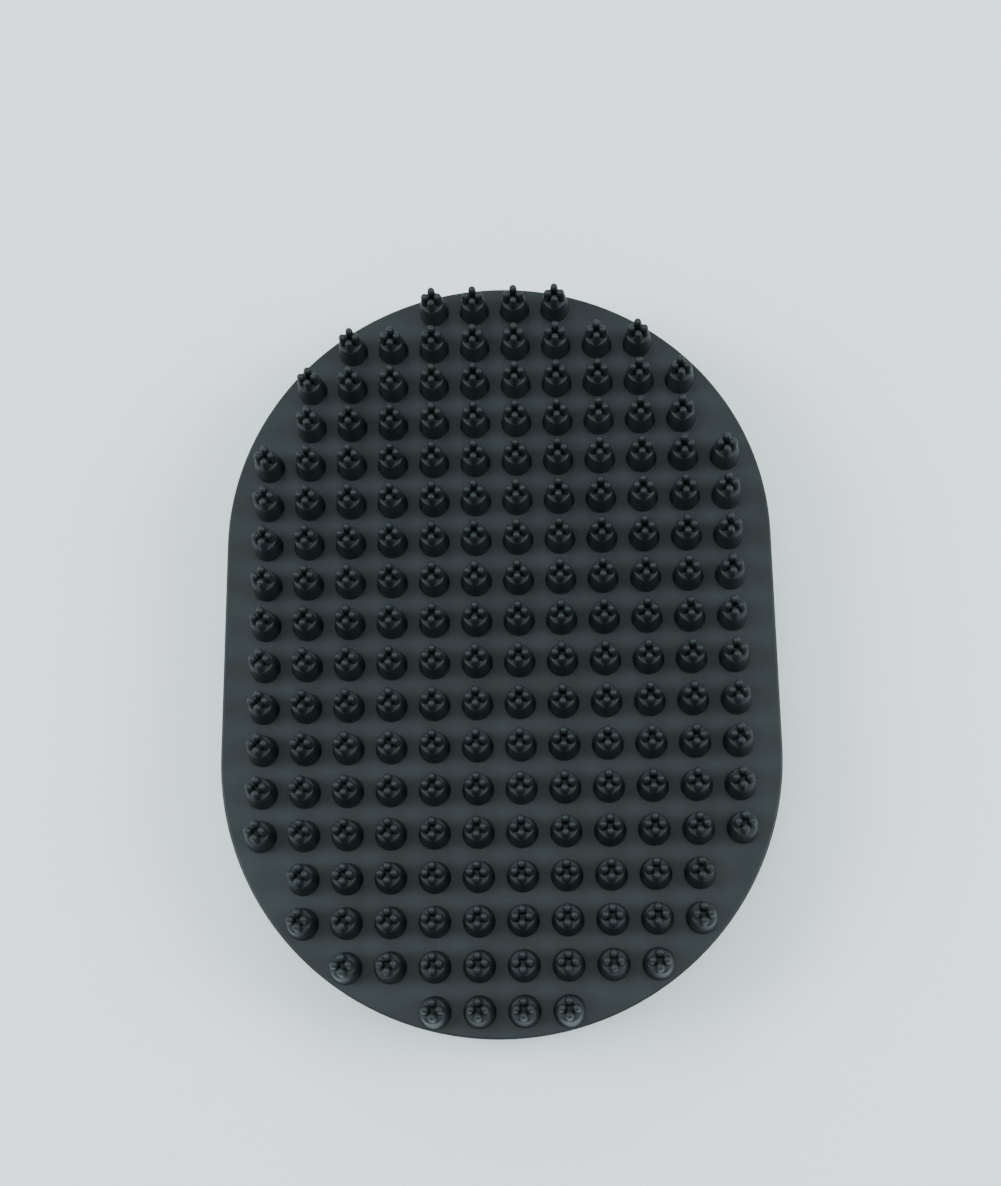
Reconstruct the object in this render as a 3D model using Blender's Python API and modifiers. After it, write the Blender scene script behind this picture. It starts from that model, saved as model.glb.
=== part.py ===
"""Rubber curry brush: a hollow-backed rubber pad with a field of four-pin nubs, and a webbing hand strap.

The nubs point up (+Z). Y runs along the brush and X across it. The origin is under the middle of the
pad, on the surface that its rim rests on. Two bars are moulded in the hollow back. The long hand strap
is sewn round the left bar and the short tab round the right one, and they close on each other with
hook and loop tape.
"""

import math

import bmesh
import bpy
from mathutils import Matrix, Vector

MM = 0.001
CLEARANCE = 0.3 * MM  # between neighbouring pieces

# Nub field: the grid's pitch sets the size of the whole pad
PITCH = 7.0 * MM
COLUMNS = 12
ROWS = 18
NUB_BASE_RADIUS = 0.355 * PITCH
NUB_TOP_RADIUS = 0.29 * PITCH
PIN_CLUSTER_RADIUS = 0.25 * PITCH
STUB_HEIGHT = 4.4 * MM
NUB_HEIGHT = 7.1 * MM
NUB_ROOT = 1.0 * MM  # how far a nub's root reaches into the pad before the two are joined
NUB_SIDES = 6

# Pad: a stadium with round ends, hollow at the back
PAD_RADIUS = 6.5 * PITCH
PAD_HALF_STRAIGHT = 2.6 * PITCH
PAD_HEIGHT = 15.0 * MM
PLATE_THICKNESS = 4.0 * MM
SKIRT_THICKNESS = 4.0 * MM
PAD_EDGE_RADIUS = 0.4 * MM
PAD_DRAFT = 1.2 * MM  # how much narrower the rim is than the top, all round
HOLLOW_DEPTH = PAD_HEIGHT - PLATE_THICKNESS
ARC_STEPS = 28

# Strap bars and the posts that carry their ends
BAR_X = 34.0 * MM
BAR_Z = 6.0 * MM
BAR_RADIUS = 2.0 * MM
POST_INNER_Y = 21.0 * MM
POST_OUTER_Y = 26.0 * MM
POST_WIDTH = 6.0 * MM
POST_BOTTOM = 2.5 * MM

# Webbing: each loop is sewn round its bar, and each band leaves the loop towards the other bar
WEB_WIDTH = 38.0 * MM
WEB_THICKNESS = 1.5 * MM
LOOP_INNER_RADIUS = BAR_RADIUS + CLEARANCE
LOOP_OUTER_RADIUS = LOOP_INNER_RADIUS + WEB_THICKNESS
STRAP_TIP_X = 26.0 * MM
TAB_TIP_X = 2.0 * MM
TAIL_REACH = 12.0 * MM  # how far the layer that doubles back over the band reaches from its bar
STRAP_BOTTOM = BAR_Z - LOOP_OUTER_RADIUS
STRAP_TOP = STRAP_BOTTOM + WEB_THICKNESS

# Hook and loop tape, stacked between the strap and the tab
TAPE_THICKNESS = 0.6 * MM
TAPE_START_X = 4.0 * MM
TAPE_END_X = 24.0 * MM
TAPE_WIDTH = 36.0 * MM
HOOK_BOTTOM = STRAP_TOP + CLEARANCE
LOOP_BOTTOM = HOOK_BOTTOM + TAPE_THICKNESS + CLEARANCE
TAB_BOTTOM = LOOP_BOTTOM + TAPE_THICKNESS + CLEARANCE
TAB_TOP = TAB_BOTTOM + WEB_THICKNESS

# Bar tacks: short dense rows of thread that close each webbing loop
TACK_LENGTH = 13.0 * MM
TACK_WIDTH = 2.0 * MM
TACK_THICKNESS = 0.4 * MM
TACK_Y = 10.0 * MM
TACK_FROM_BAR = 9.5 * MM


def clear_scene():
    """Removes the objects that the scene starts with."""
    for obj in list(bpy.data.objects):
        bpy.data.objects.remove(obj, do_unlink=True)


def make_collection(name):
    """A new collection under the scene."""
    collection = bpy.data.collections.new(name)
    bpy.context.scene.collection.children.link(collection)
    return collection


def make_material(name, colour, roughness):
    """A Principled material of one colour."""
    material = bpy.data.materials.new(name)
    material.use_nodes = True
    shader = material.node_tree.nodes["Principled BSDF"]
    shader.inputs["Base Color"].default_value = (*colour, 1.0)
    shader.inputs["Roughness"].default_value = roughness
    return material


def add_object(name, bm, collection, pivot=(0, 0, 0)):
    """An object from a bmesh in world coordinates, with its origin on its pivot."""
    bm.transform(Matrix.Translation(pivot).inverted())
    mesh = bpy.data.meshes.new(name)
    bm.to_mesh(mesh)
    bm.free()
    obj = bpy.data.objects.new(name, mesh)
    obj.location = pivot
    collection.objects.link(obj)
    return obj


def extruded(outlines, thickness, placement):
    """A bmesh of flat outlines with a thickness. Outlines inside the first one are holes."""
    curve = bpy.data.curves.new("outline", "CURVE")
    curve.dimensions = "2D"
    curve.fill_mode = "BOTH"
    curve.extrude = thickness / 2
    for outline in outlines:
        spline = curve.splines.new("POLY")
        spline.points.add(len(outline) - 1)
        for point, (x, y) in zip(spline.points, outline):
            point.co = (x, y, 0, 1)
        spline.use_cyclic_u = True
    guide = bpy.data.objects.new("outline", curve)
    bpy.context.scene.collection.objects.link(guide)
    graph = bpy.context.evaluated_depsgraph_get()
    mesh = bpy.data.meshes.new_from_object(guide.evaluated_get(graph))
    bpy.data.objects.remove(guide, do_unlink=True)
    bm = bmesh.new()
    bm.from_mesh(mesh)
    bpy.data.meshes.remove(mesh)
    bmesh.ops.remove_doubles(bm, verts=bm.verts, dist=0.001 * MM)
    bmesh.ops.recalc_face_normals(bm, faces=bm.faces)
    bm.transform(placement)
    return bm


def box(low, high):
    """A bmesh box between two corners."""
    bm = bmesh.new()
    bmesh.ops.create_cube(bm, size=1.0)
    size = [b - a for a, b in zip(low, high)]
    middle = [(a + b) / 2 for a, b in zip(low, high)]
    bm.transform(Matrix.Translation(middle) @ Matrix.Diagonal((*size, 1)))
    return bm


def boolean(obj, other, operation):
    """Joins a hidden helper to an object, or cuts it away."""
    other.hide_render = True
    other.display_type = "WIRE"
    modifier = obj.modifiers.new(f"{operation.title()} {other.name}", "BOOLEAN")
    modifier.operation = operation
    modifier.object = other
    modifier.solver = "EXACT"


def arc(centre, radius, start, end, steps):
    """Points on a circular arc, its two ends included."""
    angles = [start + (end - start) * step / steps for step in range(steps + 1)]
    return [(centre[0] + radius * math.cos(a), centre[1] + radius * math.sin(a)) for a in angles]


def stadium(radius):
    """The pad's outline at a given end radius: round ends joined by straight sides along Y."""
    top = arc((0, PAD_HALF_STRAIGHT), radius, 0, math.pi, ARC_STEPS)
    bottom = arc((0, -PAD_HALF_STRAIGHT), radius, math.pi, 2 * math.pi, ARC_STEPS)
    return top + bottom


def narrow_rim(bm):
    """Draws the rim of the pad in by its moulding draft."""
    for vert in bm.verts:
        if vert.co.z < PAD_HEIGHT / 2:
            middle = max(-PAD_HALF_STRAIGHT, min(PAD_HALF_STRAIGHT, vert.co.y))
            outward = Vector((vert.co.x, vert.co.y - middle, 0)).normalized()
            vert.co -= outward * PAD_DRAFT


def nub_places():
    """Where the nubs stand: every grid point whose nub has its whole base on the pad."""
    for row in range(ROWS):
        y = (row - (ROWS - 1) / 2) * PITCH
        for column in range(COLUMNS):
            x = (column - (COLUMNS - 1) / 2) * PITCH
            past_straight = max(abs(y) - PAD_HALF_STRAIGHT, 0)
            if math.hypot(x, past_straight) + NUB_BASE_RADIUS <= PAD_RADIUS:
                yield x, y


def turned_nub(collection):
    """One nub as a mesh: a tapered stub, and a narrower step that fills the outline of its four pins."""
    profile = (
        (0, NUB_HEIGHT),
        (PIN_CLUSTER_RADIUS, NUB_HEIGHT),
        (PIN_CLUSTER_RADIUS, STUB_HEIGHT),
        (NUB_TOP_RADIUS, STUB_HEIGHT),
        (NUB_BASE_RADIUS, -NUB_ROOT),
        (0, -NUB_ROOT),
    )
    bm = bmesh.new()
    points = [bm.verts.new((radius, 0, z)) for radius, z in profile]
    for first, second in zip(points, points[1:]):
        bm.edges.new((first, second))
    nub = add_object("nub_profile", bm, collection)
    screw = nub.modifiers.new("Turned", "SCREW")
    screw.steps = NUB_SIDES
    screw.render_steps = NUB_SIDES
    screw.use_merge_vertices = True
    screw.merge_threshold = 0.01 * MM
    graph = bpy.context.evaluated_depsgraph_get()
    mesh = bpy.data.meshes.new_from_object(nub.evaluated_get(graph))
    bpy.data.objects.remove(nub, do_unlink=True)
    return mesh


def make_nubs(cutters):
    """All the nubs as one helper object, ready to be joined to the pad."""
    nub = turned_nub(cutters)
    bm = bmesh.new()
    for x, y in nub_places():
        first_new = len(bm.verts)
        bm.from_mesh(nub)
        bm.verts.ensure_lookup_table()
        bmesh.ops.translate(bm, verts=bm.verts[first_new:], vec=(x, y, PAD_HEIGHT))
    bmesh.ops.recalc_face_normals(bm, faces=bm.faces)
    bpy.data.meshes.remove(nub)
    return add_object("nubs", bm, cutters)


def make_strap_bars(pad, cutters):
    """The two bars and their four posts, moulded in one with the pad."""
    for side, name in ((-1, "left"), (1, "right")):
        for end in (-1, 1):
            near, far = sorted((end * POST_INNER_Y, end * POST_OUTER_Y))
            low = (side * BAR_X - POST_WIDTH / 2, near, POST_BOTTOM)
            high = (side * BAR_X + POST_WIDTH / 2, far, PAD_HEIGHT - PLATE_THICKNESS / 2)
            boolean(pad, add_object(f"{name}_post_{end}", box(low, high), cutters), "UNION")
        bm = bmesh.new()
        length = POST_INNER_Y + POST_OUTER_Y
        bmesh.ops.create_cone(
            bm, cap_ends=True, segments=16, radius1=BAR_RADIUS, radius2=BAR_RADIUS, depth=length
        )
        bm.transform(
            Matrix.Translation((side * BAR_X, 0, BAR_Z)) @ Matrix.Rotation(math.pi / 2, 4, "X")
        )
        boolean(pad, add_object(f"{name}_bar", bm, cutters), "UNION")


def make_rubber_pad(parts, cutters):
    """The moulded rubber: plate, skirt, strap bars and nubs in one piece."""
    upright = Matrix.Translation((0, 0, PAD_HEIGHT / 2))
    block = extruded([stadium(PAD_RADIUS)], PAD_HEIGHT, upright)
    narrow_rim(block)
    pad = add_object("rubber_pad", block, parts)
    bevel = pad.modifiers.new("Rounded edges", "BEVEL")
    bevel.width = PAD_EDGE_RADIUS
    bevel.segments = 2
    bevel.limit_method = "ANGLE"
    bevel.angle_limit = math.radians(60)
    hollow = extruded([stadium(PAD_RADIUS - SKIRT_THICKNESS)], 2 * HOLLOW_DEPTH, Matrix.Identity(4))
    boolean(pad, add_object("hollow", hollow, cutters), "DIFFERENCE")
    make_strap_bars(pad, cutters)
    boolean(pad, make_nubs(cutters), "UNION")
    return pad


def make_webbing(name, side, tip_x, bottom, parts):
    """A length of webbing looped round the bar on one side, and doubled back over its band.

    Its outline is drawn from the bar, with the band leaving towards +X, and then mirrored to its side.
    """
    low = bottom - BAR_Z
    high = low + WEB_THICKNESS
    tail_high = high + WEB_THICKNESS
    leaves_at = math.asin(tail_high / LOOP_OUTER_RADIUS)
    returns_at = 2 * math.pi + math.asin(max(low / LOOP_OUTER_RADIUS, -1))
    reach = abs(tip_x - side * BAR_X)
    band = [(reach, low), (reach, high), (TAIL_REACH, high), (TAIL_REACH, tail_high)]
    loop = arc((0, 0), LOOP_OUTER_RADIUS, leaves_at, returns_at, 24)
    hole = arc((0, 0), LOOP_INNER_RADIUS, 0, 2 * math.pi, 16)[:-1]
    outlines = [[(-side * x, y) for x, y in outline] for outline in (loop + band, hole)]
    place = Matrix.Translation((side * BAR_X, 0, BAR_Z)) @ Matrix.Rotation(math.pi / 2, 4, "X")
    return add_object(name, extruded(outlines, WEB_WIDTH, place), parts, pivot=(side * BAR_X, 0, BAR_Z))


def make_tape(name, side, bottom, parts):
    """A rectangle of hook or loop tape on the strap or the tab."""
    low = (TAPE_START_X, -TAPE_WIDTH / 2, bottom)
    high = (TAPE_END_X, TAPE_WIDTH / 2, bottom + TAPE_THICKNESS)
    return add_object(name, box(low, high), parts, pivot=(side * BAR_X, 0, BAR_Z))


def make_bar_tack(name, side, end, bottom, parts):
    """One bar tack across the webbing, through both of its layers."""
    x = side * (BAR_X - TACK_FROM_BAR)
    low = (x - TACK_WIDTH / 2, end * TACK_Y - TACK_LENGTH / 2, bottom)
    high = (x + TACK_WIDTH / 2, end * TACK_Y + TACK_LENGTH / 2, bottom + TACK_THICKNESS)
    return add_object(name, box(low, high), parts, pivot=(side * BAR_X, 0, BAR_Z))


def finish(obj, material):
    """Gives an object its material and shades its round faces smooth."""
    obj.data.materials.append(material)
    obj.data.shade_smooth()
    obj.data.set_sharp_from_angle(angle=math.radians(30))


def build():
    """The whole brush."""
    clear_scene()
    parts = make_collection("rubber_curry_brush")
    cutters = make_collection("cutters")
    rubber = make_material("black_rubber", (0.012, 0.012, 0.014), 0.55)
    webbing = make_material("black_webbing", (0.02, 0.02, 0.022), 0.85)
    tape = make_material("hook_and_loop_tape", (0.018, 0.018, 0.02), 0.95)
    thread = make_material("black_thread", (0.03, 0.03, 0.033), 0.7)

    finish(make_rubber_pad(parts, cutters), rubber)
    finish(make_webbing("hand_strap", -1, STRAP_TIP_X, STRAP_BOTTOM, parts), webbing)
    finish(make_webbing("strap_tab", 1, TAB_TIP_X, TAB_BOTTOM, parts), webbing)
    finish(make_tape("hook_patch", -1, HOOK_BOTTOM, parts), tape)
    finish(make_tape("loop_patch", 1, LOOP_BOTTOM, parts), tape)
    for end, place in ((-1, "front"), (1, "rear")):
        strap_tack_bottom = STRAP_BOTTOM - CLEARANCE - TACK_THICKNESS
        tab_tack_bottom = TAB_TOP + WEB_THICKNESS + CLEARANCE
        finish(make_bar_tack(f"strap_bartack_{place}", -1, end, strap_tack_bottom, parts), thread)
        finish(make_bar_tack(f"tab_bartack_{place}", 1, end, tab_tack_bottom, parts), thread)


build()
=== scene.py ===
"""The looks of the rubber curry brush: moulded black rubber, webbing, hook and loop tape, and thread."""
import math
import random

import bmesh
import bpy
from mathutils import Matrix, Vector


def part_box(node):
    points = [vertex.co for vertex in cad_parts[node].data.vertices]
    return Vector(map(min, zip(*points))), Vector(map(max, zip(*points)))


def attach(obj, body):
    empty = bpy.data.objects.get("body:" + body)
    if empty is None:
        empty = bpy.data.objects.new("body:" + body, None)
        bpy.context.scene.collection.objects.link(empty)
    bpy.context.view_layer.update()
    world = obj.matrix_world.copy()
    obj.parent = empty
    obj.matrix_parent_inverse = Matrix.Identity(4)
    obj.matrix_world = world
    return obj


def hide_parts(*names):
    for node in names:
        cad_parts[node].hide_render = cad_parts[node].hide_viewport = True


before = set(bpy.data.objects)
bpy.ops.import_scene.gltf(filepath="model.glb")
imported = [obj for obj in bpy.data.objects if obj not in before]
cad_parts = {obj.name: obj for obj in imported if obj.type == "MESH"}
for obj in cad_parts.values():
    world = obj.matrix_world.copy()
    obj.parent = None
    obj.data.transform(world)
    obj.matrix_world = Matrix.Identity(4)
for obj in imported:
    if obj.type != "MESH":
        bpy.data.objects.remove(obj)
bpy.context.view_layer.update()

MM = 0.001
TURN = 2 * math.pi
CLEARANCE = 0.3 * MM  # left between pieces that touch
AXIS_RADIUS = 1e-5 * MM  # closes a turned shape at its axis

# The pad, from its CAD box: 13 pitches across, with a stadium outline
PAD_LOW, PAD_HIGH = (Vector(corner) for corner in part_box("rubber_pad"))
PITCH = (PAD_HIGH.x - PAD_LOW.x) / 13
PAD_RADIUS = (PAD_HIGH.x - PAD_LOW.x) / 2
PAD_HALF_STRAIGHT = (PAD_HIGH.y - PAD_LOW.y) / 2 - PAD_RADIUS
NUB_HEIGHT = 7.1 * MM
PAD_TOP = PAD_HIGH.z - NUB_HEIGHT
PLATE_THICKNESS = 4.0 * MM
SKIRT_THICKNESS = 4.0 * MM
CEILING = PAD_TOP - PLATE_THICKNESS
EDGE_RADIUS = 0.4 * MM
PAD_DRAFT = 1.2 * MM  # how much narrower the rim is than the top, all round
HOLLOW_FILLET = 1.2 * MM
PARTING_Z = 0.42 * PAD_TOP
PARTING_BEAD = 0.12 * MM
OUTLINE_STEPS = 72

# Nubs
COLUMNS = 12
ROWS = 18
NUB_BASE_RADIUS = 0.355 * PITCH
NUB_TOP_RADIUS = 0.29 * PITCH
STUB_HEIGHT = 4.4 * MM
NUB_ROOT = 0.8 * MM
FOOT_FILLET = 0.15 * MM
FOOT_SINK = 0.03 * MM  # how far the foot's fillet starts below the pad's face
SHOULDER_RADIUS = 0.42 * MM
STUB_STEPS = 28
PIN_CIRCLE_RADIUS = 0.16 * PITCH
PIN_BASE_RADIUS = 0.098 * PITCH
PIN_TIP_RADIUS = 0.088 * PITCH
PIN_ROOT = 0.4 * MM
PIN_FLARE = 0.1 * MM  # how much thicker a pin is at its foot
PIN_FLARE_HEIGHT = 0.25 * MM
PIN_STEPS = 14
STUB_CROWN = 0.02 * MM

# Strap bars
BAR_X = 34.0 * MM
BAR_Z = 6.0 * MM
BAR_RADIUS = 2.0 * MM
BAR_STEPS = 40
POST_INNER_Y = 21.0 * MM
POST_OUTER_Y = 26.0 * MM
POST_WIDTH = 6.0 * MM
POST_BOTTOM = 2.5 * MM
POST_ROUNDING = 0.8 * MM
POST_ROOT = 1.0 * MM

# Webbing
WEB_THICKNESS = 1.5 * MM
WEB_LOOP_RADIUS = BAR_RADIUS + CLEARANCE + WEB_THICKNESS / 2
WEB_EDGE = 0.7 * MM
WEB_STEP_ALONG = 0.38 * MM
WEB_STEP_ACROSS = 0.30 * MM
RIB_WIDTH = 1.5 * MM
RIB_LENGTH = 1.9 * MM
RIB_RELIEF = 0.22 * MM
RIB_WAVE = 0.45  # how much a rib's height rises and falls along it, as a share
WEB_END_THICKNESS = 0.3  # the share of its thickness that the webbing keeps at its ends
SEAM_REACH = 7.0 * MM  # from the bar to where a loop's two layers meet
TAIL_REACH = 12.0 * MM  # from the bar to the end of the doubled-back layer
LOOP_STEPS = 48
STRAP_LOOP = (-90, 15)  # where the strap meets and leaves its loop round the bar, in degrees
TAB_LOOP = (-20, 60)

# Tape and thread
TAPE_BASE = 0.25 * MM
TAPE_ROUNDING = 0.35  # of the base's thickness
HOOK_PITCH = 1.5 * MM
HOOK_MARGIN = 2.4 * MM
HOOK_CURL = 0.42  # a hook's curl, as a share of its height
LOOP_COUNT = 620
LOOP_MARGIN = 2.2 * MM
PILE_WIRE = 0.07 * MM
PILE_SINK = 0.05 * MM
WIRE_END = 0.6  # the share of its thickness that a thread or fibre keeps at its ends
THREAD_RADIUS = 0.17 * MM
THREAD_SIDES = 7
THREAD_LIFT = 0.6  # how high a thread lies in the cloth, as a share of its radius
STITCH_LENGTH = 2.1 * MM
STITCH_GAP = 0.5 * MM
STITCH_INSET = 1.3 * MM
TACK_PITCH = 0.42 * MM
TACK_BEND = 0.12  # how far along the tack one turn's bend reaches, as a share of its pitch
TACK_BEND_INSET = 0.86

# Camera, placed by its distance and turn from the point on the pad that it looks at
AIM = Vector((-1.3 * MM, 8.5 * MM, PAD_TOP))
VIEW_DISTANCE = 312.6 * MM
VIEW_TILT = math.radians(17.0)
VIEW_TURN = math.radians(10.2)
VIEW_ROLL = math.radians(-0.59)
LENS_MM = 57.26
VIEW_SHIFT = 0.009  # the frame's middle is a little off the lens axis

# Floor and light
FLOOR_SIZE = 1.5
FLOOR_DROP = 0.1 * MM
LIGHT_COLOUR = (0.86, 1.0, 1.02)
WORLD_STRENGTH = 0.58


# ---- materials ---------------------------------------------------------------------------------------


class Shader:
    """A Principled material with short ways to add nodes and links."""

    def __init__(self, name, colour, roughness):
        self.material = bpy.data.materials.new(name)
        self.material.use_nodes = True
        self.nodes = self.material.node_tree.nodes
        self.links = self.material.node_tree.links
        self.principled = self.nodes["Principled BSDF"]
        self.principled.inputs["Base Color"].default_value = (*colour, 1)
        self.principled.inputs["Roughness"].default_value = roughness
        self.position = self.nodes.new("ShaderNodeTexCoord").outputs["Object"]

    def noise(self, scale, detail=3.0, roughness=0.5):
        """Noise in the object's own coordinates, from 0 to 1."""
        node = self.nodes.new("ShaderNodeTexNoise")
        node.inputs["Scale"].default_value = scale
        node.inputs["Detail"].default_value = detail
        node.inputs["Roughness"].default_value = roughness
        self.links.new(self.position, node.inputs["Vector"])
        return node.outputs["Fac"]

    def ramp(self, value, *stops):
        """A value turned into a colour by stops of (position, colour)."""
        node = self.nodes.new("ShaderNodeValToRGB")
        while len(node.color_ramp.elements) < len(stops):
            node.color_ramp.elements.new(0.5)
        for element, (place, colour) in zip(node.color_ramp.elements, stops):
            element.position = place
            element.color = (*colour, 1)
        self.links.new(value, node.inputs["Fac"])
        return node.outputs["Color"]

    def spread(self, value, low, high):
        """A value from 0 to 1, moved to a range."""
        node = self.nodes.new("ShaderNodeMapRange")
        node.inputs["To Min"].default_value = low
        node.inputs["To Max"].default_value = high
        self.links.new(value, node.inputs["Value"])
        return node.outputs["Result"]

    def bump(self, height, strength, distance, under=None):
        """A bump of a height, on top of another bump."""
        node = self.nodes.new("ShaderNodeBump")
        node.inputs["Strength"].default_value = strength
        node.inputs["Distance"].default_value = distance
        self.links.new(height, node.inputs["Height"])
        if under:
            self.links.new(under, node.inputs["Normal"])
        return node.outputs["Normal"]

    def attribute(self, name):
        """A value stored on the mesh's points."""
        node = self.nodes.new("ShaderNodeAttribute")
        node.attribute_name = name
        return node.outputs["Fac"]

    def mix(self, share, first, second):
        """Two values or colours mixed by a fixed share of the second."""
        node = self.nodes.new("ShaderNodeMix")
        node.data_type = "RGBA"
        node.inputs["Factor"].default_value = share
        self.links.new(first, node.inputs["A"])
        self.links.new(second, node.inputs["B"])
        return node.outputs["Result"]

    def set(self, socket, output):
        """Links an output to a socket of the Principled shader."""
        self.links.new(output, self.principled.inputs[socket])


def rubber_material():
    """Matte black moulded rubber: faint bloom in patches, fine grain, and a soft sheen on round edges."""
    shader = Shader("black_rubber", (0.014, 0.016, 0.018), 0.5)
    bloom = shader.noise(90, 4, 0.6)
    shader.set("Base Color", shader.ramp(bloom, (0.3, (0.010, 0.012, 0.014)), (0.75, (0.017, 0.020, 0.023))))
    shader.set("Roughness", shader.spread(shader.noise(260, 3), 0.42, 0.58))
    waves = shader.bump(shader.noise(120, 2), 0.10, 0.4 * MM)
    shader.set("Normal", shader.bump(shader.noise(5200, 2), 0.16, 0.04 * MM, waves))
    shader.principled.inputs["Specular IOR Level"].default_value = 0.31
    return shader.material


def webbing_material():
    """Black nylon webbing: painted shade in the weave's valleys and a painted highlight on its tops, both
    from the weave's height.
    """
    shader = Shader("black_webbing", (0.018, 0.018, 0.020), 0.6)
    # Painted shade: the weave's height darkens the valleys and lightens the tops of the yarns.
    painted_weave_shade = shader.ramp(
        shader.attribute("relief"),
        (0.1, (0.003, 0.003, 0.004)),
        (0.55, (0.017, 0.017, 0.019)),
        (1, (0.034, 0.034, 0.038)),
    )
    worn = shader.ramp(shader.noise(350, 3), (0.3, (0.010, 0.010, 0.011)), (0.8, (0.022, 0.022, 0.024)))
    shader.set("Base Color", shader.mix(0.2, painted_weave_shade, worn))
    shader.set("Roughness", shader.spread(shader.noise(1500, 2), 0.5, 0.7))
    shader.set("Normal", shader.bump(shader.noise(4200, 3, 0.7), 0.2, 0.05 * MM))
    shader.principled.inputs["Sheen Weight"].default_value = 0.08
    shader.principled.inputs["Sheen Roughness"].default_value = 0.5
    return shader.material


def tape_material(name, shade, sheen):
    """Hook or loop tape: a dull knitted base with fibres on it."""
    cool = Vector((1.0, 1.02, 1.1)) * shade
    shader = Shader(name, cool, 0.85)
    low = tuple(cool * 0.6)
    high = tuple(cool * 1.5)
    shader.set("Base Color", shader.ramp(shader.noise(900, 4, 0.7), (0.3, low), (0.75, high)))
    shader.set("Normal", shader.bump(shader.noise(3800, 3, 0.7), 0.5, 0.1 * MM))
    shader.principled.inputs["Sheen Weight"].default_value = sheen
    return shader.material


def thread_material():
    """Black polyester thread, a little shinier than the webbing."""
    shader = Shader("black_thread", (0.03, 0.03, 0.033), 0.45)
    shader.set("Base Color", shader.ramp(shader.noise(1800), (0.3, (0.02,) * 3), (0.8, (0.05,) * 3)))
    shader.set("Normal", shader.bump(shader.noise(6000, 2), 0.5, 0.06 * MM))
    return shader.material


def floor_material():
    """A pale matt floor."""
    shader = Shader("pale_floor", (0.93, 0.94, 0.95), 0.75)
    shader.set("Roughness", shader.spread(shader.noise(12), 0.7, 0.8))
    return shader.material


# ---- mesh tools --------------------------------------------------------------------------------------


def add_mesh(name, bm, material, smooth_below=35):
    """A new object from a bmesh, smooth except where its faces turn sharply."""
    bmesh.ops.recalc_face_normals(bm, faces=bm.faces)
    mesh = bpy.data.meshes.new(name)
    bm.to_mesh(mesh)
    bm.free()
    mesh.materials.append(material)
    mesh.shade_smooth()
    mesh.set_sharp_from_angle(angle=math.radians(smooth_below))
    obj = bpy.data.objects.new(name, mesh)
    bpy.context.scene.collection.objects.link(obj)
    return obj


def loft(bm, rings):
    """A closed skin over rings of points that all have the same number of points."""
    rows = [[bm.verts.new(point) for point in ring] for ring in rings]
    count = len(rows[0])
    for lower, upper in zip(rows, rows[1:]):
        for i in range(count):
            j = (i + 1) % count
            bm.faces.new((lower[i], lower[j], upper[j], upper[i]))
    bm.faces.new(rows[0][::-1])
    bm.faces.new(rows[-1])


def turned(bm, profile, steps, centre=(0, 0)):
    """A turned solid about an upright axis. Its profile is (radius, z) points from bottom to top."""
    x, y = centre
    angles = [TURN * i / steps for i in range(steps)]
    rings = []
    for radius, z in profile:
        rings.append([(x + radius * math.cos(a), y + radius * math.sin(a), z) for a in angles])
    loft(bm, rings)


def round_corner(centre, radius, start, end, steps):
    """Points on an arc, angles in degrees."""
    angles = [math.radians(start + (end - start) * i / steps) for i in range(steps + 1)]
    return [(centre[0] + radius * math.cos(a), centre[1] + radius * math.sin(a)) for a in angles]


def join_into(target, other):
    """Joins one closed solid to another with a Boolean, and removes the second object."""
    modifier = target.modifiers.new("Union", "BOOLEAN")
    modifier.operation = "UNION"
    modifier.solver = "MANIFOLD"
    modifier.object = other
    graph = bpy.context.evaluated_depsgraph_get()
    mesh = bpy.data.meshes.new_from_object(target.evaluated_get(graph))
    target.modifiers.clear()
    target.data = mesh
    bpy.data.objects.remove(other, do_unlink=True)


def tube(bm, points, radius, sides):
    """A thin round tube along points, thinner at its ends."""
    points = [Vector(point) for point in points]
    rings = []
    side = None
    for i, point in enumerate(points):
        along = (points[min(i + 1, len(points) - 1)] - points[max(i - 1, 0)]).normalized()
        if side is None:
            side = along.orthogonal().normalized()
        side = (side - along * side.dot(along)).normalized()
        up = along.cross(side)
        thick = radius * (WIRE_END if i in (0, len(points) - 1) else 1)
        ring = []
        for k in range(sides):
            a = TURN * k / sides
            ring.append(point + side * (thick * math.cos(a)) + up * (thick * math.sin(a)))
        rings.append(ring)
    loft(bm, rings)


# ---- rubber pad --------------------------------------------------------------------------------------


def stadium_ring(inset, z):
    """One ring round the pad, a distance in from its outline."""
    ring = []
    for end in (1, -1):
        for i in range(OUTLINE_STEPS + 1):
            angle = math.pi * i / OUTLINE_STEPS + (0 if end > 0 else math.pi)
            x = (PAD_RADIUS - inset) * math.cos(angle)
            y = end * PAD_HALF_STRAIGHT + (PAD_RADIUS - inset) * math.sin(angle)
            ring.append((x, y, z))
    return ring


def pad_shell(material):
    """The plate and drafted skirt, with rounded edges, a fillet in the hollow and a faint parting bead."""
    e = EDGE_RADIUS
    wall = PARTING_BEAD
    rim = wall + PAD_DRAFT
    inner = SKIRT_THICKNESS
    f = HOLLOW_FILLET
    at_parting = wall + PAD_DRAFT * (1 - PARTING_Z / PAD_TOP)
    profile = round_corner((e, PAD_TOP - e), e, 90, 180, 5)
    profile += [
        (at_parting, PARTING_Z + 2 * wall),
        (at_parting - wall, PARTING_Z),
        (at_parting, PARTING_Z - 2 * wall),
    ]
    profile += round_corner((rim + e, e), e, 180, 270, 5)
    profile += round_corner((inner - e, e), e, 270, 360, 5)
    profile += round_corner((inner + f, CEILING - f), f, 180, 90, 6)
    bm = bmesh.new()
    loft(bm, [stadium_ring(inset, z) for inset, z in profile])
    return add_mesh("rubber_pad_body", bm, material, 40)


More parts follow.
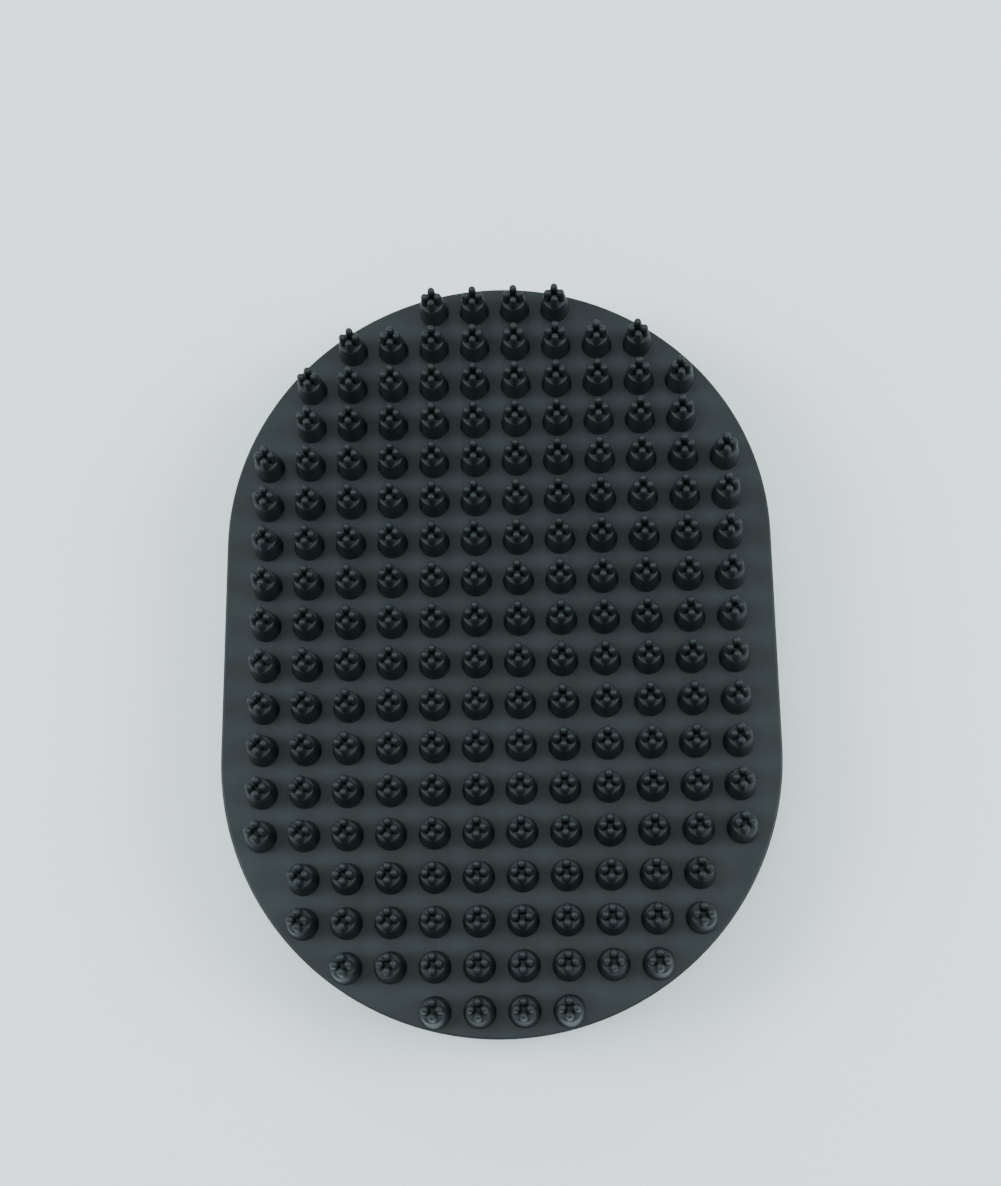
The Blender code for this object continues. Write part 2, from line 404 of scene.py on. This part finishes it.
def nub_places():
    """Where the nubs stand: every grid point whose nub has its whole base on the pad."""
    for row in range(ROWS):
        y = (row - (ROWS - 1) / 2) * PITCH
        for column in range(COLUMNS):
            x = (column - (COLUMNS - 1) / 2) * PITCH
            past_straight = max(abs(y) - PAD_HALF_STRAIGHT, 0)
            if math.hypot(x, past_straight) + NUB_BASE_RADIUS <= PAD_RADIUS:
                yield x, y


def one_nub(material):
    """A stub with a filleted foot and a soft shoulder, and four dome-ended pins on it."""
    f = FOOT_FILLET
    s = SHOULDER_RADIUS
    foot = NUB_BASE_RADIUS + f
    profile = [(AXIS_RADIUS, -NUB_ROOT), (foot, -NUB_ROOT), (foot, -FOOT_SINK)]
    profile += round_corner((foot, f), f, 180, 260, 3)[::-1]
    profile += round_corner((NUB_TOP_RADIUS - s, STUB_HEIGHT - s), s, 8, 90, 4)
    crown = STUB_HEIGHT + STUB_CROWN
    profile += [(NUB_TOP_RADIUS * 0.5, crown), (AXIS_RADIUS, crown)]
    bm = bmesh.new()
    turned(bm, profile, STUB_STEPS)
    nub = add_mesh("nub", bm, material)
    for quarter in range(4):
        angle = math.pi / 2 * quarter
        centre = (PIN_CIRCLE_RADIUS * math.cos(angle), PIN_CIRCLE_RADIUS * math.sin(angle))
        flared = PIN_BASE_RADIUS + PIN_FLARE
        pin = [(AXIS_RADIUS, STUB_HEIGHT - PIN_ROOT), (flared, STUB_HEIGHT - PIN_ROOT)]
        pin += [(flared, STUB_HEIGHT), (PIN_BASE_RADIUS, STUB_HEIGHT + PIN_FLARE_HEIGHT)]
        pin += round_corner((0, NUB_HEIGHT - PIN_TIP_RADIUS), PIN_TIP_RADIUS, 0, 78, 4)
        pin.append((AXIS_RADIUS, NUB_HEIGHT))
        bm = bmesh.new()
        turned(bm, pin, PIN_STEPS, centre)
        join_into(nub, add_mesh("pin", bm, material))
    return nub


def all_nubs(material):
    """Every nub on the pad, as one object of separate solids."""
    nub = one_nub(material)
    bm = bmesh.new()
    for x, y in nub_places():
        first_new = len(bm.verts)
        bm.from_mesh(nub.data)
        bm.verts.ensure_lookup_table()
        bmesh.ops.translate(bm, verts=bm.verts[first_new:], vec=(x, y, PAD_TOP))
    bpy.data.objects.remove(nub, do_unlink=True)
    return add_mesh("nubs", bm, material)


def post(side, end, material):
    """One of the four rounded posts that carry the strap bars."""
    bm = bmesh.new()
    bmesh.ops.create_cube(bm, size=1.0)
    height = CEILING + POST_ROOT - POST_BOTTOM
    size = (POST_WIDTH, POST_OUTER_Y - POST_INNER_Y, height)
    middle = (side * BAR_X, end * (POST_INNER_Y + POST_OUTER_Y) / 2, POST_BOTTOM + height / 2)
    bm.transform(Matrix.Translation(middle) @ Matrix.Diagonal((*size, 1)))
    bmesh.ops.bevel(bm, geom=bm.edges[:], offset=POST_ROUNDING, segments=4, profile=0.5, affect="EDGES")
    return add_mesh("post", bm, material)


def bar(side, material):
    """One of the two bars that the webbing loops round."""
    length = POST_INNER_Y + POST_OUTER_Y
    bm = bmesh.new()
    turned(bm, [(BAR_RADIUS, -length / 2), (BAR_RADIUS, length / 2)], BAR_STEPS)
    bm.transform(Matrix.Translation((side * BAR_X, 0, BAR_Z)) @ Matrix.Rotation(math.pi / 2, 4, "X"))
    return add_mesh("bar", bm, material)


def flatten_level_faces(obj, heights):
    """Shades the level faces at some heights flat, so that the fillets beside them don't bend light."""
    for face in obj.data.polygons:
        level = abs(face.normal.z) > 0.9999
        if level and min(abs(face.center.z - height) for height in heights) < 0.01 * MM:
            face.use_smooth = False


def make_pad(material):
    """The whole rubber moulding."""
    pad = pad_shell(material)
    for side in (-1, 1):
        for end in (-1, 1):
            join_into(pad, post(side, end, material))
        join_into(pad, bar(side, material))
    join_into(pad, all_nubs(material))
    pad.data.shade_smooth()
    pad.data.set_sharp_from_angle(angle=math.radians(40))
    flatten_level_faces(pad, (PAD_TOP, CEILING))
    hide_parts("rubber_pad")
    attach(pad, "pad")


# ---- webbing -----------------------------------------------------------------------------------------


def bezier(start, start_way, end, end_way, steps=16):
    """Points on a smooth curve between two points, with its direction given at both."""
    start, start_way, end, end_way = (Vector(v) for v in (start, start_way, end, end_way))
    pull = (end - start).length * 0.4
    a, b = start + start_way.normalized() * pull, end - end_way.normalized() * pull
    points = []
    for i in range(steps + 1):
        t = i / steps
        u = 1 - t
        points.append(start * u ** 3 + a * 3 * t * u ** 2 + b * 3 * t * t * u + end * t ** 3)
    return points


def webbing_path(reach, band_z, enter, leave):
    """The middle line of a looped length of webbing, as (distance from the bar, height over it) points.

    It runs from the tip to the bar, enters the loop at one angle, leaves it at another, and doubles back.
    """
    radius = WEB_LOOP_RADIUS
    level = band_z - BAR_Z
    tail = level + WEB_THICKNESS + 2 * RIB_RELIEF
    into = Vector((radius * math.cos(enter), radius * math.sin(enter)))
    out = Vector((radius * math.cos(leave), radius * math.sin(leave)))
    points = [Vector((reach, level))]
    points += bezier((SEAM_REACH, level), (-1, 0), into, (math.sin(enter), -math.cos(enter)))
    for i in range(1, LOOP_STEPS):
        angle = enter + (leave - TURN - enter) * i / LOOP_STEPS
        points.append(Vector((radius * math.cos(angle), radius * math.sin(angle))))
    points += bezier(out, (math.sin(leave), -math.cos(leave)), (SEAM_REACH, tail), (1, 0))
    points.append(Vector((TAIL_REACH, tail)))
    return points


def even_steps(points, step):
    """The same line with evenly spaced points, and its length."""
    lengths = [0.0]
    for first, second in zip(points, points[1:]):
        lengths.append(lengths[-1] + (second - first).length)
    count = round(lengths[-1] / step)
    result = []
    segment = 0
    for i in range(count + 1):
        target = lengths[-1] * i / count
        while segment < len(points) - 2 and lengths[segment + 1] < target:
            segment += 1
        span = lengths[segment + 1] - lengths[segment]
        share = (target - lengths[segment]) / span if span else 0
        result.append(points[segment].lerp(points[segment + 1], share))
    return result, lengths[-1]


def edge_shape(distance):
    """How thick the webbing is near an edge, from 0 at the edge to 1."""
    inside = min(max(distance / WEB_EDGE, 0.0), 1.0)
    return math.sqrt(1 - (1 - inside) ** 2)


def weave(along, across, face):
    """How high the weave stands, from 0 to 1: ribs along it, each half a step off the next."""
    rib = math.floor(across / RIB_WIDTH)
    crown = abs(math.sin(math.pi * across / RIB_WIDTH))
    phase = math.pi * (rib % 2) + (math.pi / 2 if face < 0 else 0)
    floats = 1 - RIB_WAVE + RIB_WAVE * math.cos(TURN * along / RIB_LENGTH + phase)
    return crown * floats


def make_webbing(node, body, side, band_z, loop, material):
    """A woven strap round one bar, whose loop starts and ends at two angles in degrees."""
    low, high = (Vector(corner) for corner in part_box(node))
    half_width = (high.y - low.y) / 2
    tip = high.x if side < 0 else low.x
    reach = abs(tip - side * BAR_X)
    path = webbing_path(reach, band_z, *(math.radians(angle) for angle in loop))
    line, length = even_steps(path, WEB_STEP_ALONG)
    across_count = round(2 * half_width / WEB_STEP_ACROSS)
    rings = []
    reliefs = []
    for i, point in enumerate(line):
        way = (line[min(i + 1, len(line) - 1)] - line[max(i - 1, 0)]).normalized()
        normal = Vector((-way.y, way.x))
        along = length * i / (len(line) - 1)
        at_end = max(edge_shape(min(along, length - along)), WEB_END_THICKNESS)
        ring = []
        for face, columns in ((1, range(across_count)), (-1, range(across_count, 0, -1))):
            for column in columns:
                across = -half_width + 2 * half_width * column / across_count
                from_edge = half_width - abs(across)
                relief = weave(along, across, face)
                reliefs.append(relief)
                thickness = WEB_THICKNESS / 2 + RIB_RELIEF * (relief - 0.5)
                offset = face * thickness * edge_shape(from_edge) * at_end
                place = point + normal * offset
                ring.append((side * (BAR_X - place.x), across, BAR_Z + place.y))
        rings.append(ring)
    bm = bmesh.new()
    loft(bm, rings)
    web = add_mesh(node + "_webbing", bm, material, 80)
    # The weave's height, which the webbing material turns into painted shade in the valleys and a painted
    # highlight on the tops.
    web.data.attributes.new("relief", "FLOAT", "POINT").data.foreach_set("value", reliefs)
    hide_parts(node)
    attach(web, body)


# ---- tape and thread ---------------------------------------------------------------------------------


def tape_base(bm, low, high):
    """The flat base of a piece of tape, with rounded edges."""
    cube = bmesh.ops.create_cube(bm, size=1.0)
    size = high - low
    bmesh.ops.scale(bm, verts=cube["verts"], vec=size)
    bmesh.ops.translate(bm, verts=cube["verts"], vec=(low + high) / 2)
    edges = list({edge for vert in cube["verts"] for edge in vert.link_edges})
    bmesh.ops.bevel(bm, geom=edges, offset=size.z * TAPE_ROUNDING, segments=3, profile=0.5, affect="EDGES")


def make_tape(node, body, facing, material, pile):
    """Hook or loop tape, with its pile on the side that it faces."""
    low, high = (Vector(corner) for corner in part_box(node))
    base_low, base_high = low.copy(), high.copy()
    if facing > 0:
        base_high.z = low.z + TAPE_BASE
        root = base_high.z
    else:
        base_low.z = high.z - TAPE_BASE
        root = base_low.z
    bm = bmesh.new()
    tape_base(bm, base_low, base_high)
    base = add_mesh(node + "_base", bm, material, 50)
    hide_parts(node)
    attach(base, body)
    bm = bmesh.new()
    pile(bm, low, high, root, facing, high.z - low.z - TAPE_BASE)
    fibres = add_mesh(node + "_pile", bm, material, 60)
    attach(fibres, body)


def hook_pile(bm, low, high, root, facing, height):
    """Rows of small hooks, each a stem that curls over, with every other row facing back."""
    rows = int((high.x - low.x - 2 * HOOK_MARGIN) / HOOK_PITCH) + 1
    columns = int((high.y - low.y - 2 * HOOK_MARGIN) / HOOK_PITCH) + 1
    curl = height * HOOK_CURL
    for row in range(rows):
        for column in range(columns):
            x = low.x + HOOK_MARGIN + row * HOOK_PITCH
            y = low.y + HOOK_MARGIN + (column + 0.5 * (row % 2)) * HOOK_PITCH
            if y > high.y - HOOK_MARGIN:
                continue
            lean = 1 if row % 2 else -1
            points = [(x, y, root - facing * PILE_SINK), (x, y, root + facing * (height - curl))]
            for i in range(1, 5):
                angle = math.pi * 1.15 * i / 4
                dx = lean * curl * (1 - math.cos(angle))
                points.append((x + dx, y, root + facing * (height - curl + curl * math.sin(angle) * 0.85)))
            tube(bm, points, PILE_WIRE, 5)


def loop_pile(bm, low, high, root, facing, height):
    """A felt of small loops, each an arch that stands a little to one side."""
    generator = random.Random(7)
    for _ in range(LOOP_COUNT):
        x = generator.uniform(low.x + LOOP_MARGIN, high.x - LOOP_MARGIN)
        y = generator.uniform(low.y + LOOP_MARGIN, high.y - LOOP_MARGIN)
        turn = generator.uniform(0, TURN)
        span = generator.uniform(0.45, 0.85) * MM
        rise = height * generator.uniform(0.6, 0.95)
        lean = generator.uniform(-0.2, 0.2) * MM
        points = []
        for i in range(7):
            angle = math.pi * i / 6
            run = -span * math.cos(angle)
            lift = rise * math.sin(angle) - PILE_SINK
            aside = lean * math.sin(angle)
            px = x + run * math.cos(turn) - aside * math.sin(turn)
            py = y + run * math.sin(turn) + aside * math.cos(turn)
            points.append((px, py, root + facing * lift))
        tube(bm, points, PILE_WIRE * 0.8, 4)


def stitch(bm, start, end, z, facing):
    """One stitch: a short thread that dips into the cloth at both ends."""
    points = []
    for i in range(7):
        t = i / 6
        lift = math.sin(math.pi * t) ** 0.5 if 0 < t < 1 else 0
        x = start[0] + (end[0] - start[0]) * t
        y = start[1] + (end[1] - start[1]) * t
        points.append((x, y, z + facing * THREAD_RADIUS * (1.1 * lift - THREAD_LIFT)))
    tube(bm, points, THREAD_RADIUS, THREAD_SIDES)


def make_seam(name, node, body, faces, material):
    """The row of stitches round a piece of tape, on each of the faces given as (height, facing)."""
    low, high = (Vector(corner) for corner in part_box(node))
    x0, x1 = low.x + STITCH_INSET, high.x - STITCH_INSET
    y0, y1 = low.y + STITCH_INSET, high.y - STITCH_INSET
    corners = [(x0, y0), (x1, y0), (x1, y1), (x0, y1)]
    bm = bmesh.new()
    for z, facing in faces:
        for corner, following in zip(corners, corners[1:] + corners[:1]):
            run = Vector(following) - Vector(corner)
            count = round(run.length / (STITCH_LENGTH + STITCH_GAP))
            for i in range(count):
                start = Vector(corner) + run * (i / count)
                end = start + run * (STITCH_LENGTH / (STITCH_LENGTH + STITCH_GAP) / count)
                stitch(bm, start, end, z, facing)
    seam = add_mesh(name, bm, material, 60)
    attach(seam, body)


def make_tack(node, body, surface_z, facing, material):
    """A bar tack: one thread that zigzags closely along the tack's length."""
    low, high = (Vector(corner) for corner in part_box(node))
    count = round((high.y - low.y) / TACK_PITCH)
    z = surface_z + facing * THREAD_RADIUS * THREAD_LIFT
    middle = (low.x + high.x) / 2
    points = []
    for i in range(count + 1):
        y = low.y + (high.y - low.y) * i / count
        side = 1 if i % 2 else -1
        x = middle + side * (high.x - low.x) / 2
        for turn_in in (TACK_BEND_INSET, 1.0, TACK_BEND_INSET) if 0 < i < count else (1.0,):
            points.append((middle + (x - middle) * turn_in, y, z))
            y += TACK_PITCH * TACK_BEND
    bm = bmesh.new()
    tube(bm, points, THREAD_RADIUS, THREAD_SIDES)
    tack = add_mesh(node + "_thread", bm, material, 60)
    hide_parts(node)
    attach(tack, body)


# ---- stage -------------------------------------------------------------------------------------------


def make_floor():
    """A plain pale floor."""
    bm = bmesh.new()
    bmesh.ops.create_grid(bm, x_segments=1, y_segments=1, size=FLOOR_SIZE)
    bmesh.ops.translate(bm, verts=bm.verts, vec=(0, 0, -FLOOR_DROP))
    floor = add_mesh("floor", bm, floor_material())


def add_light(name, place, size, power):
    """A square soft light, aimed at the brush."""
    data = bpy.data.lights.new(name, "AREA")
    data.shape = "SQUARE"
    data.size = size
    data.energy = power
    data.color = LIGHT_COLOUR
    light = bpy.data.objects.new(name, data)
    light.location = place
    light.rotation_euler = (Vector() - Vector(place)).to_track_quat("-Z", "Y").to_euler()
    bpy.context.scene.collection.objects.link(light)


def make_lights():
    """Soft studio light, strongest from the two sides, with weaker softboxes overhead and at the far end."""
    add_light("overhead", (0.0, -0.12, 1.0), 0.7, 3.6)
    add_light("far", (-0.20, 0.95, 0.75), 0.6, 4.0)
    add_light("left", (-0.95, 0.0, 0.80), 0.6, 13.0)
    add_light("right", (0.95, 0.0, 0.80), 0.6, 13.0)
    world = bpy.data.worlds.new("studio")
    world.use_nodes = True
    background = world.node_tree.nodes["Background"]
    background.inputs["Color"].default_value = (*LIGHT_COLOUR, 1)
    background.inputs["Strength"].default_value = WORLD_STRENGTH
    bpy.context.scene.world = world


def make_camera():
    """A camera that looks down on the nubs from the near side, tilted a little."""
    aside = math.sin(VIEW_TILT)
    away = Vector((aside * math.sin(VIEW_TURN), -aside * math.cos(VIEW_TURN), math.cos(VIEW_TILT)))
    forward = -away
    right = forward.cross(Vector((0, 1, 0))).normalized()
    up = right.cross(forward)
    facing = Matrix((right, up, away)).transposed().to_4x4()
    data = bpy.data.cameras.new("camera")
    data.lens = LENS_MM
    data.sensor_width = 36
    data.shift_x = VIEW_SHIFT
    camera = bpy.data.objects.new("camera", data)
    camera.matrix_world = (
        Matrix.Translation(AIM + away * VIEW_DISTANCE) @ facing @ Matrix.Rotation(VIEW_ROLL, 4, "Z")
    )
    bpy.context.scene.collection.objects.link(camera)
    bpy.context.scene.camera = camera


# ---- the whole brush ---------------------------------------------------------------------------------


def build():
    """Makes every visible piece, the lights and the camera."""
    make_camera()
    make_lights()
    make_floor()
    rubber = rubber_material()
    webbing = webbing_material()
    thread = thread_material()
    make_pad(rubber)

    hook_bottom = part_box("hook_patch")[0][2]
    loop_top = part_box("loop_patch")[1][2]
    strap_top = hook_bottom - CLEARANCE
    tab_bottom = loop_top + CLEARANCE
    strap_bottom = strap_top - WEB_THICKNESS
    tab_top = tab_bottom + WEB_THICKNESS
    make_webbing("hand_strap", "strap", -1, strap_top - WEB_THICKNESS / 2, STRAP_LOOP, webbing)
    make_webbing("strap_tab", "tab", 1, tab_bottom + WEB_THICKNESS / 2, TAB_LOOP, webbing)
    make_tape("hook_patch", "strap", 1, tape_material("hook_tape", 0.010, 0.04), hook_pile)
    make_tape("loop_patch", "tab", -1, tape_material("loop_tape", 0.013, 0.22), loop_pile)
    hook_faces = ((hook_bottom + TAPE_BASE, 1), (strap_bottom, -1))
    loop_faces = ((loop_top - TAPE_BASE, -1), (tab_top, 1))
    make_seam("hook_seam", "hook_patch", "strap", hook_faces, thread)
    make_seam("loop_seam", "loop_patch", "tab", loop_faces, thread)
    tail_top = tab_top + WEB_THICKNESS + 2 * RIB_RELIEF
    for place in ("front", "rear"):
        make_tack("strap_bartack_" + place, "strap", strap_bottom, -1, thread)
        make_tack("tab_bartack_" + place, "tab", tail_top, 1, thread)


build()
